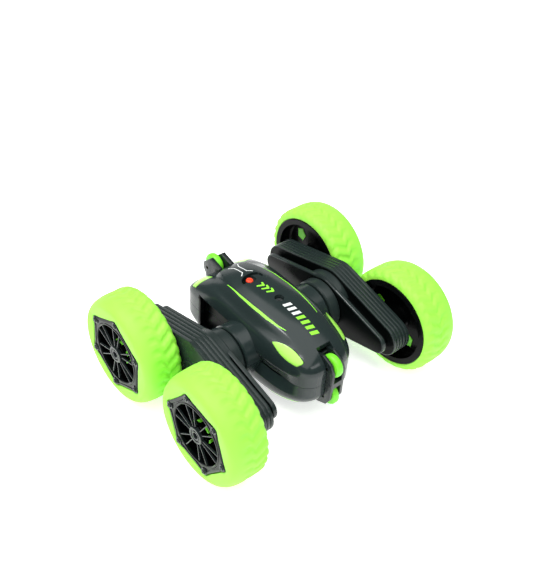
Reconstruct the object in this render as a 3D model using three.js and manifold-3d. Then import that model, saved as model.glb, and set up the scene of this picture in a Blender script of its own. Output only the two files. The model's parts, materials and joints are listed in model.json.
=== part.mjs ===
// RC stunt car: a double-sided body hangs between two swinging arms, and each arm carries two wheels.
// Millimetres, +Z up, nose towards -Y, the car's left side towards +X.
// The origin is on the floor, under the middle of the arm pivot.
import * as THREE from "three";
import { mergeVertices } from "three/addons/utils/BufferGeometryUtils.js";
import Module from "manifold-3d";

const wasm = await Module();
wasm.setup();

// ---- Clearances ----
const fit = 0.3; // between pieces that seat in or on each other
const running = 0.6; // around pieces that turn
const through = 1; // how far a cutter, or a piece joined to another, runs past the face it meets

// ---- Wheels ----
const tyreRadius = 35;
const tyreWidth = 26;
const tyreFacets = 20; // a multiple of 4, so one facet faces straight down
const shoulder = 4.5; // how far the rounded tread shoulder reaches in from the tyre's edge
const wheelGap = 10; // between the front and the rear tyre
const sidewallBore = 21.5; // the tyre's outer sidewall reaches in to here, under the face plate
const sidewallDepth = 4.6;
const barrelRadius = 27.5;
const barrelWall = 2.2;
const flangeRadius = 29.6;
const flangeWidth = 1.5;
const rimProud = 0.4; // of the rim beyond the tyre's inner side
const flangeSeat = 1.8; // depth of the flange's seat in the tyre
const rimHubRadius = 7.5;
const rimWebWidth = 2;
const rimWebInset = 9.4; // from the rim's inner face to the web
const platePoints = 6;
const plateLobeCircle = 24.4;
const plateLobe = 2.6;
const plateWidth = 1.9;
const plateRingInner = 18;
const plateHub = 5.5;
const plateHubHole = 2.6;
const spokeWidth = 3.2;
const boltHead = 1.7;
const boltHeight = 1;
const frontWheelTurn = 10; // degrees that the face plate is turned at rest
const rearWheelTurn = 34;
const axleRadius = 2;

// ---- Gear train in each arm ----
const sunTeeth = 12;
const idlerTeeth = 16;
const wheelGearTeeth = 12;
const gearWidth = 5;
const toothTip = 0.75; // the tooth's height above and below the pitch circle, in modules
const toothRoot = 1.05;
const rootShare = 0.29; // half of the tooth's width at its root and its tip, as a share of the pitch
const tipShare = 0.11;

// ---- Body ----
const bodyHalfWidth = 26.5;
const noseReach = 55;
const tailReach = 58;
const crest = 28.5; // highest point of the body above the pivot
const wallTop = 8; // the body's side wall is upright up to here
const noseSquare = 3.4; // exponents of the superellipse seen from above
const tailSquare = 8;
const noseSpine = 0.45; // the ridge covers this share of the nose's reach
const tailSpine = 0.6; // and this share of the tail's
const ridgeDrop = 0.0025; // per millimetre squared from the ridge's top
const ridgeTop = 3;
const tailDrop = 0.009; // more, per millimetre squared, behind this place
const tailTop = 26;
// How boxy a cross-section is: 2 is round. The three values are for the nose, the waist and the rear deck.
const noseBulge = 3;
const waistBulge = 2.4;
const deckBulge = 6;
const waistSpan = [-10, 30]; // the cross-section changes from the nose's to the waist's along here
const deckSpan = [44, 48]; // the hood ends in a drop to the rear deck along here, sooner towards the sides
const deckArc = 0.028; // by this much per square millimetre
const deckShoulder = [9, 15]; // while the shoulders beyond here
const deckLead = 26; // start their drop this much sooner, and blend into the deck
const deckDrop = 3.5;
const shellWall = 1.8;
const bossRadius = 17.4;
const bossReach = 7.5; // beyond the body's side

// ---- Arms ----
const bossGap = 1.2;
const hubLength = 7.5;
const hubRadius = 17.6;
const hubTube = 6;
const drumWall = 2;
const framePlate = 3;
const frameInset = 4;
const groove = 3.2; // between the frame plate and the cover
const coverDepth = 13.8;
const coverWall = 2;
const podApexCover = 10.5; // from an idler's tip circle up to the pod's highest point
const podApexRadius = 8;
const podEndCover = 1.2; // from a wheel gear's tip circle to the pod's end round it
const podEndReach = 8.5; // beyond the axle
const idlerPost = 1.5;
const spigotStep = 0.4;
const spigotWall = 1.4; // the rim on the frame plate that the cover sits round
const spigotLap = 1.4;
const bearingWall = 2;
const wheelToArm = 1.2;
const axleSeat = 1.6; // depth of an axle's seat in the frame plate

// ---- Pivot ----
const bushWall = 2.1;
const bushLength = 4;

// ---- Motor and clutch ----
const motorRadius = 7.75;
const motorFlat = 6; // half of the width across the can's flats
const motorLength = 19.6;
const motorMiddleGap = 3.6;
const clutchModule = 0.8;
const clutchTeeth = 20;
const pinionTeeth = 8;
const clutchWidth = 3.5;
const motorShaft = 1;
const shaftInMotor = 2.5; // length of the shaft inside the can

// ---- Rollers and their brackets ----
const rollerRadius = 7.5;
const rollerWidth = 5;
const rollerPin = 1.2;
const bracketWall = 2;
const bracketBack = 1.5;
const frontRollerInset = 1; // from the nose back to the roller's pin
const frontRollerZ = 11.5;
const rearRollerOutset = 0.8; // from the tail out to the roller's pin
const rearRollerZ = 14.5;
const frontBracketReach = 5.8; // beyond the roller's pin
const rearBracketReach = 3.7;
const rearFinWall = 3.2;
// Corners of a cheek: [beyond the roller's pin, above it]. The first lies on the bracket's back.
const frontCheek = [[0, 6], [-4, 7.5], [3, 4.5], [frontBracketReach, -1]];
const rearCheek = [[0, 5.5], [-2.1, 8.2], [3.8, 2.6], [rearBracketReach, -2.2]];
const rollerFlat = 1; // half of the roller's flat tread
const rollerRound = 1.4; // how far its rounded edge drops
const bracketBar = 2; // half of the crossbar's height
const bracketBarDepth = 3;

// ---- Lamps ----
// Corners of the lamp windows in plan, on the left side: [from the middle, back from the nose].
const lampTip = [21.7, noseReach - 23.8];
const lampCorner = [16.3, noseReach - 45.6];
const lampNose = [20.1, noseReach - 42.6];
const lampBulge = 23.4;
// The rear lamps' corners: [from the middle, in from the tail].
const rearLampCorners = [[12.2, 4.5], [12.2, 12.3], [23.4, 9.8], [22.8, 5.8]];
const lampBar = 2; // thickness of the bar that joins two windows
const lampBarHalf = 1.5; // half of the bar's width
const lampSill = 1; // the rear windows stop this far above the side wall
const lensRecess = 0.2; // of a lens below the shell's surface

// ---- Switch, screw, battery and board ----
const switchY = 20;
const switchLength = 12;
const switchDepth = 6;
const switchHeight = 6;
const switchTravel = 4;
const switchGap = 2.6; // between the switch and the shell's inner face
const stemDepth = 1.7; // of the knob's stem in the switch
const knobHeight = 1.4;
const knobRadius = 2.3;
const knobRestX = -3.2;
const slotHalfWidth = 1.3;
const screwY = -4.2;
const screwHead = 2.4;
const screwShank = 1.2;
const screwLength = 24;
const screwDepth = 2.5; // of the head below the ridge
const screwHeadHeight = 1.8;
const screwPostWall = 1.6;
const screwBoreDepth = 20; // below the pivot's height
const lowerPostRadius = 3;
const lowerPostTop = 6;
const cellRadius = 7;
const cellLength = 42;
const batteryY = 16.8;
const boardLength = 18;
const boardWidth = 30;
const boardThickness = 1.6;
const boardInset = 2; // from the nose slot
// Receiver chip, crystal and plug on the board: [x, y from its front edge, wide, long, high].
const boardParts = [[-4, 5, 8, 6, 1.5], [6, 3, 3.5, 10, 3], [-12, 13, 5, 4, 5]];

// ---- Worked out from the sizes above ----
const wheelbase = 2 * tyreRadius + wheelGap;
const axleY = wheelbase / 2;
const gearModule = wheelbase / (sunTeeth + 2 * idlerTeeth + wheelGearTeeth);
const idlerY = (gearModule * (sunTeeth + idlerTeeth)) / 2;
const podApex = gearModule * (idlerTeeth / 2 + 1) + podApexCover;
const podEndRadius = gearModule * (wheelGearTeeth / 2 + 1) + podEndCover;
const bossFace = bodyHalfWidth + bossReach;
const hubInner = bossFace + bossGap;
const hubOuter = hubInner + hubLength;
const frameInner = hubOuter + fit;
const frameOuter = frameInner + framePlate;
const coverInner = frameOuter + groove;
const coverOuter = coverInner + coverDepth;
const tyreInner = coverOuter + wheelToArm;
const wheelMiddle = tyreInner + tyreWidth / 2;
const gearInner = coverInner + 2.4;
const clutchInner = bodyHalfWidth - 1;
const motorY = -(clutchModule * (clutchTeeth + pinionTeeth)) / 2;
const bushInner = bossFace - bushLength;
const bushOuterRadius = hubTube + running + bushWall;
const shaftBore = axleRadius + fit;
const bracketInner = rollerWidth / 2 + running;
const frontRollerY = -(noseReach - frontRollerInset);
const rearRollerY = tailReach + rearRollerOutset;
const rollerPocket = rollerRadius + running;
const noseSlotY = frontRollerY + rollerPocket + bracketBack + fit;
const tailSlotY = rearRollerY - rollerPocket - bracketBack - fit;
const frontBracketY = frontRollerY - frontBracketReach;
const rearBracketY = rearRollerY + rearBracketReach;

// ---- Materials ----
const blackPlastic = new THREE.MeshStandardMaterial({ color: 0x2b3032, roughness: 0.3, metalness: 0 });
const limeRubber = new THREE.MeshStandardMaterial({ color: 0xa4ea3c, roughness: 0.7, metalness: 0 });
const limePlastic = new THREE.MeshStandardMaterial({ color: 0x8cf02c, roughness: 0.4, metalness: 0 });
const lampPlastic = new THREE.MeshStandardMaterial({ color: 0xb4f55e, roughness: 0.3, metalness: 0 });
const redPlastic = new THREE.MeshStandardMaterial({ color: 0xff5018, roughness: 0.4, metalness: 0 });
const whitePlastic = new THREE.MeshStandardMaterial({ color: 0xe8e6df, roughness: 0.5, metalness: 0 });
const steel = new THREE.MeshStandardMaterial({ color: 0xb9bcc0, roughness: 0.3, metalness: 1 });
const boardGreen = new THREE.MeshStandardMaterial({ color: 0x1f6b3a, roughness: 0.5, metalness: 0 });
const cellWrap = new THREE.MeshStandardMaterial({ color: 0x2a5fb0, roughness: 0.4, metalness: 0 });

// ---- Solids ----
function solid(geometry) {
  const bare = geometry.index ? geometry.toNonIndexed() : geometry.clone();
  bare.deleteAttribute("normal");
  bare.deleteAttribute("uv");
  const merged = mergeVertices(bare, 1e-4);
  const vertProperties = merged.attributes.position.array;
  const triVerts = new Uint32Array(merged.index.array);
  const made = new wasm.Manifold(new wasm.Mesh({ numProp: 3, vertProperties, triVerts }));
  if (made.volume() > 0) return made;
  return new wasm.Manifold(new wasm.Mesh({ numProp: 3, vertProperties, triVerts: triVerts.reverse() }));
}

function join(first, ...others) {
  return others.reduce((sum, other) => sum.add(other), first);
}

function cut(first, ...others) {
  return others.reduce((rest, other) => rest.subtract(other), first);
}

function meshOf(body, name, material) {
  const made = body.getMesh();
  const geometry = new THREE.BufferGeometry();
  geometry.setAttribute("position", new THREE.BufferAttribute(made.vertProperties, 3));
  geometry.setIndex(new THREE.BufferAttribute(made.triVerts, 1));
  geometry.computeVertexNormals();
  const mesh = new THREE.Mesh(geometry, material);
  mesh.name = name;
  return mesh;
}

function box([x0, x1], [y0, y1], [z0, z1]) {
  const geometry = new THREE.BoxGeometry(x1 - x0, y1 - y0, z1 - z0);
  return solid(geometry.translate((x0 + x1) / 2, (y0 + y1) / 2, (z0 + z1) / 2));
}

// A closed profile of [radius, distance along X] turned about X. Its flats, not its corners, are at the
// stated radii, and one flat faces straight down.
function turned(profile, facets, y = 0, z = 0) {
  const scale = 1 / Math.cos(Math.PI / facets);
  const points = [...profile, profile[0]].map(([r, a]) => new THREE.Vector2(r * scale, a));
  const geometry = new THREE.LatheGeometry(points, facets);
  return solid(geometry.rotateZ(-Math.PI / 2).rotateX(Math.PI / facets).translate(0, y, z));
}

function rod(radius, x0, x1, y = 0, z = 0, facets = 8) {
  const scale = 1 / Math.cos(Math.PI / facets);
  const geometry = new THREE.CylinderGeometry(radius * scale, radius * scale, x1 - x0, facets);
  return solid(geometry.rotateZ(-Math.PI / 2).rotateX(Math.PI / facets).translate((x0 + x1) / 2, y, z));
}

function post(radius, z0, z1, x = 0, y = 0, facets = 10) {
  const scale = 1 / Math.cos(Math.PI / facets);
  const geometry = new THREE.CylinderGeometry(radius * scale, radius * scale, z1 - z0, facets);
  return solid(geometry.rotateX(Math.PI / 2).translate(x, y, (z0 + z1) / 2));
}

function shapeOf(points) {
  return new THREE.Shape(points.map(([u, v]) => new THREE.Vector2(u, v)));
}

const plainExtrusion = { bevelEnabled: false, curveSegments: 3 };

// A shape drawn in (Y, Z) and extruded along X.
function slab(shape, x0, x1) {
  const geometry = new THREE.ExtrudeGeometry(shape, { ...plainExtrusion, depth: x1 - x0 });
  const toX = new THREE.Matrix4().makeBasis(
    new THREE.Vector3(0, 1, 0), new THREE.Vector3(0, 0, 1), new THREE.Vector3(1, 0, 0));
  return solid(geometry.applyMatrix4(toX).translate(x0, 0, 0));
}

// A shape drawn in (X, Y) and extruded along Z.
function prism(shape, z0, z1) {
  const geometry = new THREE.ExtrudeGeometry(shape, { ...plainExtrusion, depth: z1 - z0 });
  return solid(geometry.translate(0, 0, z0));
}

// The outline of a belt pulled tight round circles of [u, v, radius].
function beltOutline(circles, steps, grow = 0) {
  const points = [];
  for (let i = 0; i < steps; i++) {
    const angle = ((i + 0.5) * 2 * Math.PI) / steps;
    const [nu, nv] = [Math.cos(angle), Math.sin(angle)];
    const reach = ([u, v, r]) => u * nu + v * nv + r;
    const [u, v, r] = circles.reduce((best, circle) => (reach(circle) > reach(best) ? circle : best));
    points.push([u + (r + grow) * nu, v + (r + grow) * nv]);
  }
  return points;
}

function gear(teeth, module, bore, x0, x1, turn = 0) {
  const pitchRadius = (module * teeth) / 2;
  const [tip, root] = [pitchRadius + toothTip * module, pitchRadius - toothRoot * module];
  const pitch = (2 * Math.PI) / teeth;
  const points = [];
  for (let i = 0; i < teeth; i++) {
    const corners = [[root, -rootShare], [tip, -tipShare], [tip, tipShare], [root, rootShare]];
    for (const [radius, share] of corners) {
      const angle = turn + (i + share) * pitch;
      points.push([radius * Math.cos(angle), radius * Math.sin(angle)]);
    }
  }
  return cut(slab(shapeOf(points), x0, x1), rod(bore, x0 - through, x1 + through));
}

const car = new THREE.Group();
const pivotFrame = new THREE.Group();
pivotFrame.position.z = tyreRadius;
car.add(pivotFrame);

// ---- Body shells ----
const ease = ([from, to], y) => THREE.MathUtils.smoothstep(y, from, to);

// A dome over the superellipse plan, drawn in from its nominal surface by the inset.
function dome(inset) {
  const around = 28;
  const rings = 4;
  const bottom = -2;
  const rows = [];
  for (let ring = 0; ring <= rings + 1; ring++) {
    const row = [];
    const out = ring === 0 ? 1 : Math.cos(((ring - 1) / rings) * (Math.PI / 2));
    for (let i = 0; i < around; i++) {
      const angle = (i * 2 * Math.PI) / around;
      const [c, s] = [Math.cos(angle), Math.sin(angle)].map((v) => (Math.abs(v) < 1e-9 ? 0 : v));
      const square = s < 0 ? noseSquare : tailSquare;
      const reach = (s < 0 ? noseReach : tailReach) - inset;
      const spine = s < 0 ? noseSpine : tailSpine;
      const planX = (bodyHalfWidth - inset) * Math.sign(c) * Math.abs(c) ** (2 / square);
      const planY = reach * Math.sign(s) * Math.abs(s) ** (2 / square);
      const [x, y] = [planX * out, planY * (spine + (1 - spine) * out)];
      const lead = deckLead * ease(deckShoulder, Math.abs(x));
      const deck = ease([deckSpan[0] - lead, deckSpan[1]], y + deckArc * x * x);
      const fall = ridgeDrop * (y - ridgeTop) ** 2 + tailDrop * Math.max(0, y - tailTop) ** 2;
      const top = crest - inset - fall - deckDrop * deck;
      const waistShare = ease(waistSpan, y);
      const bulge = noseBulge + (waistBulge - noseBulge) * waistShare + (deckBulge - waistBulge) * deck;
      const rise = Math.sqrt(Math.max(0, 1 - out ** bulge));
      row.push([Math.abs(x) < 1e-6 ? 0 : x, y, ring === 0 ? bottom : wallTop + (top - wallTop) * rise]);
    }
    rows.push(row);
  }
  const positions = [];
  const quad = (a, b, c, d) => positions.push(...a, ...b, ...c, ...a, ...c, ...d);
  for (let ring = 0; ring <= rings; ring++) {
    for (let i = 0; i < around; i++) {
      const next = (i + 1) % around;
      quad(rows[ring][i], rows[ring][next], rows[ring + 1][next], rows[ring + 1][i]);
    }
  }
  for (let i = 0; i < around; i++) {
    positions.push(0, 0, bottom, ...rows[0][(i + 1) % around], ...rows[0][i]);
  }
  const geometry = new THREE.BufferGeometry();
  geometry.setAttribute("position", new THREE.BufferAttribute(new Float32Array(positions), 3));
  return solid(geometry);
}

const everything = 200;
const drumFacets = 20;
const bossDrum = rod(bossRadius, -bossFace, bossFace, 0, 0, drumFacets);
const bossInside = bossFace - shellWall;
const bossHollow = rod(bossRadius - shellWall, -bossInside, bossInside, 0, 0, drumFacets);
const bushHole = rod(bushOuterRadius + fit, -everything, everything, 0, 0, 12);
const bracketHalf = bracketInner + bracketWall;
const rearBracketHalf = bracketInner + rearFinWall;

// The front window is a teardrop with its tip to the rear, the rear one is a quadrilateral.
function lampOutline(side, grow) {
  const at = ([x, fromNose], dx, dy) => [side * (x + dx * grow), fromNose - noseReach + dy * grow];
  const [tip, corner, nose] = [at(lampTip, 0, 1), at(lampCorner, -1, -1), at(lampNose, 1, -1)];
  const shape = new THREE.Shape();
  shape.moveTo(...tip);
  shape.quadraticCurveTo(corner[0], (tip[1] + corner[1]) / 2, ...corner);
  shape.lineTo(...nose);
  shape.quadraticCurveTo(side * (lampBulge + grow), (tip[1] + nose[1]) / 2, ...tip);
  return shape;
}

function rearLampOutline(side, grow) {
  const middleX = rearLampCorners.reduce((sum, [x]) => sum + x, 0) / rearLampCorners.length;
  const middleY = rearLampCorners.reduce((sum, [, y]) => sum + y, 0) / rearLampCorners.length;
  return shapeOf(rearLampCorners.map(([x, fromTail]) => [
    side * (x + grow * Math.sign(x - middleX)), tailReach - fromTail - grow * Math.sign(fromTail - middleY),
  ]));
}

const outerDome = dome(0);
const innerDome = dome(shellWall);
const frontLampWindows = [-1, 1].map((side) => prism(lampOutline(side, fit), wallTop, everything));
const rearLampWindows = [-1, 1].map(
  (side) => prism(rearLampOutline(side, fit), wallTop + lampSill, everything),
);
const upperHalf = box([-everything, everything], [-everything, everything], [fit / 2, everything]);

function shell() {
  const raw = cut(join(outerDome, bossDrum), innerDome, bossHollow, bushHole);
  return cut(
    raw,
    box([-bracketHalf - fit, bracketHalf + fit], [-everything, noseSlotY], [-everything, everything]),
    box([-rearBracketHalf - fit, rearBracketHalf + fit], [tailSlotY, everything], [-everything, everything]),
    ...frontLampWindows,
    ...rearLampWindows,
  ).intersect(upperHalf);
}

// Only the upper shell has the screw post and the switch slot.
const screwPostRadius = screwHead + fit + screwPostWall;
const screwSeatZ = crest - screwDepth - screwHeadHeight;
const upperPost = post(screwPostRadius, lowerPostTop + fit, everything, 0, screwY).intersect(outerDome);
const headWell = post(screwHead + fit, screwSeatZ - fit, everything, 0, screwY);
const shankWell = post(screwShank + fit, 0, crest, 0, screwY);
const slotSpan = [knobRestX - slotHalfWidth - fit, knobRestX + switchTravel + slotHalfWidth + fit];
const switchSlot = box(slotSpan, [switchY - slotHalfWidth, switchY + slotHalfWidth], [wallTop, everything]);
const upperShell = cut(join(shell(), upperPost), headWell, shankWell, switchSlot);
pivotFrame.add(meshOf(upperShell, "upper_shell", blackPlastic));

const lowerPost = cut(
  post(lowerPostRadius, -(crest - shellWall), lowerPostTop, 0, screwY),
  post(screwShank + fit, -screwBoreDepth, everything, 0, screwY),
);
const lowerShell = join(shell().mirror([0, 0, 1]), lowerPost);
pivotFrame.add(meshOf(lowerShell, "lower_shell", blackPlastic));

const screwTip = screwSeatZ - screwLength;
const bodyScrew = join(
  post(screwHead, screwSeatZ, screwSeatZ + screwHeadHeight, 0, screwY),
  post(screwShank, screwTip, screwSeatZ + screwHeadHeight / 2, 0, screwY),
);
pivotFrame.add(meshOf(bodyScrew, "body_screw", steel));

// ---- Lamp lenses: two windows on a light bar, under each end of each shell ----
const lensTop = dome(lensRecess);
function lensBar(outline, floor, barHalf, barY) {
  const windows = [-1, 1].map((side) => prism(outline(side, 0), floor, everything).intersect(lensTop));
  const bar = box([-barHalf, barHalf], barY, [floor, floor + lampBar]);
  return join(bar, ...windows);
}
const frontLensFloor = wallTop + lampBar;
const rearLensFloor = wallTop + lampSill;
const frontBarMiddle = (lampTip[1] + lampCorner[1]) / 2 - noseReach;
const rearBarMiddle = tailReach - rearLampCorners[1][1] + lampBarHalf;
const barSpan = (middle) => [middle - lampBarHalf, middle + lampBarHalf];
const frontLens = lensBar(lampOutline, frontLensFloor, lampNose[0], barSpan(frontBarMiddle));
const rearLens = lensBar(rearLampOutline, rearLensFloor, rearLampCorners[1][0], barSpan(rearBarMiddle));
for (const [lens, end] of [[frontLens, "front"], [rearLens, "rear"]]) {
  pivotFrame.add(meshOf(lens, `upper_${end}_lens`, lampPlastic));
  pivotFrame.add(meshOf(lens.mirror([0, 0, 1]), `lower_${end}_lens`, lampPlastic));
}

// ---- Brackets and their rollers ----
const pinHole = rollerPin + fit;
function bracket(sideOutline, backY, half, wall, rollerY, rollerZ, barSpan) {
  const sides = [-1, 1].map((side) =>
    slab(shapeOf(sideOutline), side > 0 ? half - wall : -half, side > 0 ? half : wall - half));
  const backHeight = Math.max(...sideOutline.map(([, v]) => v));
  const back = box([-half, half], backY, [-backHeight, backHeight]);
  const bar = box([-half, half], barSpan, [-bracketBar, bracketBar]);
  const holes = [-1, 1].map(
    (end) => rod(pinHole, -half - through, half + through, rollerY, end * rollerZ, 6),
  );
  return cut(join(back, bar, ...sides), ...holes);
}
const frontBack = [noseSlotY - fit - bracketBack, noseSlotY - fit];
const mirrorZ = (points) => [...points, ...points.map(([u, v]) => [u, -v]).reverse()];
// The upper half of each cheek, from its back edge to the crossbar: [from the roller's pin outwards, above it].
const cheek = (way, rollerY, backY, rollerZ, corners) => mirrorZ([
  [backY, rollerZ + corners[0][1]],
  ...corners.slice(1).map(([out, above]) => [rollerY + way * out, rollerZ + above]),
]);
const frontSide = cheek(-1, frontRollerY, frontBack[1], frontRollerZ, frontCheek);
const frontBracket = bracket(frontSide, frontBack, bracketHalf, bracketWall, frontRollerY, frontRollerZ,
  [frontBracketY, frontBracketY + bracketBarDepth]);
pivotFrame.add(meshOf(frontBracket, "front_bracket", blackPlastic));
const rearBack = [tailSlotY + fit, tailSlotY + fit + bracketBack];
const rearSide = cheek(1, rearRollerY, rearBack[0], rearRollerZ, rearCheek);
const rearBracket = bracket(rearSide, rearBack, rearBracketHalf, rearFinWall, rearRollerY, rearRollerZ,
  [rearBracketY - bracketBarDepth, rearBracketY]);
pivotFrame.add(meshOf(rearBracket, "rear_bracket", blackPlastic));

function roller(half) {
  const [rim, side] = [rollerRadius, rollerWidth / 2];
  const body = turned([
    [0, -side], [rim - rollerRound, -side], [rim, -rollerFlat],
    [rim, rollerFlat], [rim - rollerRound, side], [0, side],
  ], 14);
  return join(body, rod(rollerPin, -half, half, 0, 0, 6));
}
const rollerPlaces = [
  ["front", frontRollerY, frontRollerZ, bracketHalf], ["rear", rearRollerY, rearRollerZ, rearBracketHalf],
];
for (const [end, y, z, half] of rollerPlaces) {
  for (const [level, way] of [["upper", 1], ["lower", -1]]) {
    const mesh = meshOf(roller(half), `roller_${end}_${level}`, limePlastic);
    mesh.position.set(0, y, way * z);
    pivotFrame.add(mesh);
  }
}

// ---- Power switch ----
const switchTop = crest - shellWall - switchGap;
const switchMiddle = knobRestX + switchTravel / 2;
const switchSides = [switchMiddle - switchLength / 2, switchMiddle + switchLength / 2];
const switchEnds = [switchY - switchDepth / 2, switchY + switchDepth / 2];
const stemWidth = slotHalfWidth - fit;
const switchBody = cut(
  box(switchSides, switchEnds, [switchTop - switchHeight, switchTop]),
  box(slotSpan, [switchY - slotHalfWidth, switchY + slotHalfWidth], [switchTop - stemDepth - fit, everything]),
);
pivotFrame.add(meshOf(switchBody, "power_switch", steel));
const knob = join(
  box([-stemWidth, stemWidth], [-stemWidth, stemWidth], [switchTop - stemDepth, crest]),
  post(knobRadius, crest - knobHeight / 2, crest + knobHeight / 2),
);
const knobMesh = meshOf(knob, "power_switch_knob", redPlastic);
knobMesh.position.set(knobRestX, switchY, 0);
pivotFrame.add(knobMesh);

// ---- Battery and circuit board ----
const cells = [[batteryY, 0, cellRadius], [batteryY + 2 * cellRadius, 0, cellRadius]];
const battery = slab(shapeOf(beltOutline(cells, 20)), -cellLength / 2, cellLength / 2);
pivotFrame.add(meshOf(battery, "battery_pack", cellWrap));

const boardFront = noseSlotY + boardInset;
const [boardBack, boardTop] = [boardFront + boardLength, boardThickness / 2];
const board = join(
  box([-boardWidth / 2, boardWidth / 2], [boardFront, boardBack], [-boardTop, boardTop]),
  ...boardParts.map(([x, y, wide, long, high]) =>
    box([x, x + wide], [boardFront + y, boardFront + y + long], [0, boardTop + high])),
);
pivotFrame.add(meshOf(board, "circuit_board", boardGreen));

// ---- Everything below is drawn for the left side and mirrored for the right ----
const sides = [["left", 1], ["right", -1]];
const clutchOuter = clutchInner + clutchWidth;

for (const [side, sign] of sides) {
  const half = new THREE.Group();
  half.scale.x = sign;
  pivotFrame.add(half);
  const add = (body, name, material) => {
    const mesh = meshOf(body, `${name}_${side}`, material);
    half.add(mesh);
    return mesh;
  };

  // Motor, slip clutch and pivot bush sit in the body.
  const can = rod(motorRadius, motorMiddleGap, motorMiddleGap + motorLength, motorY, 0, 12)
    .intersect(box([0, everything], [motorY - motorFlat, motorY + motorFlat], [-everything, everything]));
  const motorEnd = motorMiddleGap + motorLength;
  const shaftHole = rod(motorShaft + fit, motorEnd - shaftInMotor - fit, motorEnd + through, motorY, 0, 8);
  add(cut(can, shaftHole), "motor", steel);

  const pinion = join(
    gear(pinionTeeth, clutchModule, motorShaft / 2, clutchInner, clutchOuter),
    rod(motorShaft, motorEnd - shaftInMotor, clutchOuter, 0, 0, 8),
  );
  const pinionMesh = add(pinion, "motor_pinion", whitePlastic);
  pinionMesh.position.y = motorY;
  add(gear(clutchTeeth, clutchModule, shaftBore, clutchInner, clutchOuter, Math.PI / clutchTeeth),
    "clutch_gear", whitePlastic);

  const bush = turned([
    [hubTube + running / 2, bushInner], [bushOuterRadius, bushInner], [bushOuterRadius, bossFace],
    [hubTube + running / 2, bossFace],
  ], 12);
  add(bush, "pivot_bush", whitePlastic);

  // The hub is the arm's drum and its journal in the bush.
  const hub = turned([
    [axleRadius + running, bushInner], [hubTube, bushInner], [hubTube, hubInner], [hubRadius, hubInner],
    [hubRadius, hubOuter], [hubRadius - drumWall, hubOuter], [hubRadius - drumWall, hubInner + drumWall],
    [axleRadius + running, hubInner + drumWall],
  ], drumFacets);
  add(hub, "pivot_hub", blackPlastic);

  const shaftEnd = coverOuter - coverWall - fit;
  add(rod(axleRadius, clutchInner, shaftEnd, 0, 0), "output_shaft", steel);

  // Pod outline, seen from the side.
  const podCircles = [
    [axleY + podEndReach, 0, podEndRadius], [-(axleY + podEndReach), 0, podEndRadius],
    [0, podApex - podApexRadius, podApexRadius], [0, podApexRadius - podApex, podApexRadius],
  ];
  const podSteps = 28;
  const pod = (grow, x0, x1) => slab(shapeOf(beltOutline(podCircles, podSteps, grow)), x0, x1);
  const gearOuter = gearInner + gearWidth;
  const ends = [-1, 1];

  const spigotInset = frameInset + spigotStep;
  const spigotEnd = coverInner + spigotLap;
  const bearingRadius = shaftBore + bearingWall;
  const frame = cut(
    join(
      pod(-frameInset, frameInner, frameOuter),
      cut(pod(-spigotInset, frameOuter - through, spigotEnd),
        pod(-spigotInset - spigotWall, frameOuter - 2 * through, spigotEnd + through)),
      ...ends.map((end) => rod(idlerPost, frameOuter - through, gearOuter + through, end * idlerY, 0, 6)),
      ...ends.map((end) => rod(bearingRadius, frameOuter - through, spigotEnd, end * axleY, 0, 8)),
    ),
    rod(axleRadius + running, frameInner - through, frameOuter + through),
    ...ends.map(
      (end) => rod(shaftBore, frameInner + framePlate - axleSeat - fit, everything, end * axleY, 0),
    ),
  );
  add(frame, "arm_frame", blackPlastic);

  const cover = cut(
    join(
      cut(
        pod(0, coverInner, coverOuter),
        pod(fit - spigotInset, coverInner - through, spigotEnd + fit),
        pod(-coverWall, spigotEnd + fit / 2, coverOuter - coverWall),
      ),
      rod(bearingRadius, gearOuter + running, coverOuter - through, 0, 0, 8),
    ),
    rod(shaftBore, 0, coverOuter - coverWall + fit),
    ...ends.map((end) => rod(shaftBore, 0, everything, end * axleY, 0)),
  );
  add(cover, "arm_cover", blackPlastic);

  add(gear(sunTeeth, gearModule, shaftBore, gearInner, gearOuter), "sun_gear", whitePlastic);
  const idlerTurn = Math.PI / idlerTeeth;
  for (const [end, way] of [["front", -1], ["rear", 1]]) {
    const idler = add(gear(idlerTeeth, gearModule, idlerPost + fit, gearInner, gearOuter, idlerTurn),
      `idler_${end}`, whitePlastic);
    idler.position.y = way * idlerY;
    const wheelGear = add(gear(wheelGearTeeth, gearModule, shaftBore, gearInner, gearOuter),
      `wheel_gear_${end}`, whitePlastic);
    wheelGear.position.y = way * axleY;
  }

  // Wheels, drawn about their own middle.
  const halfWidth = tyreWidth / 2;
  const rimInner = -halfWidth - rimProud;
  const rimOuter = halfWidth - sidewallDepth - fit;
  const plateInner = halfWidth - plateWidth;
  const plateCircles = (grow) => Array.from({ length: platePoints }, (_, i) => {
    const angle = (i * 2 * Math.PI) / platePoints;
    return [plateLobeCircle * Math.cos(angle), plateLobeCircle * Math.sin(angle), plateLobe + grow];
  });
  const plateOutline = (grow) => shapeOf(beltOutline(plateCircles(grow), 24));

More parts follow.
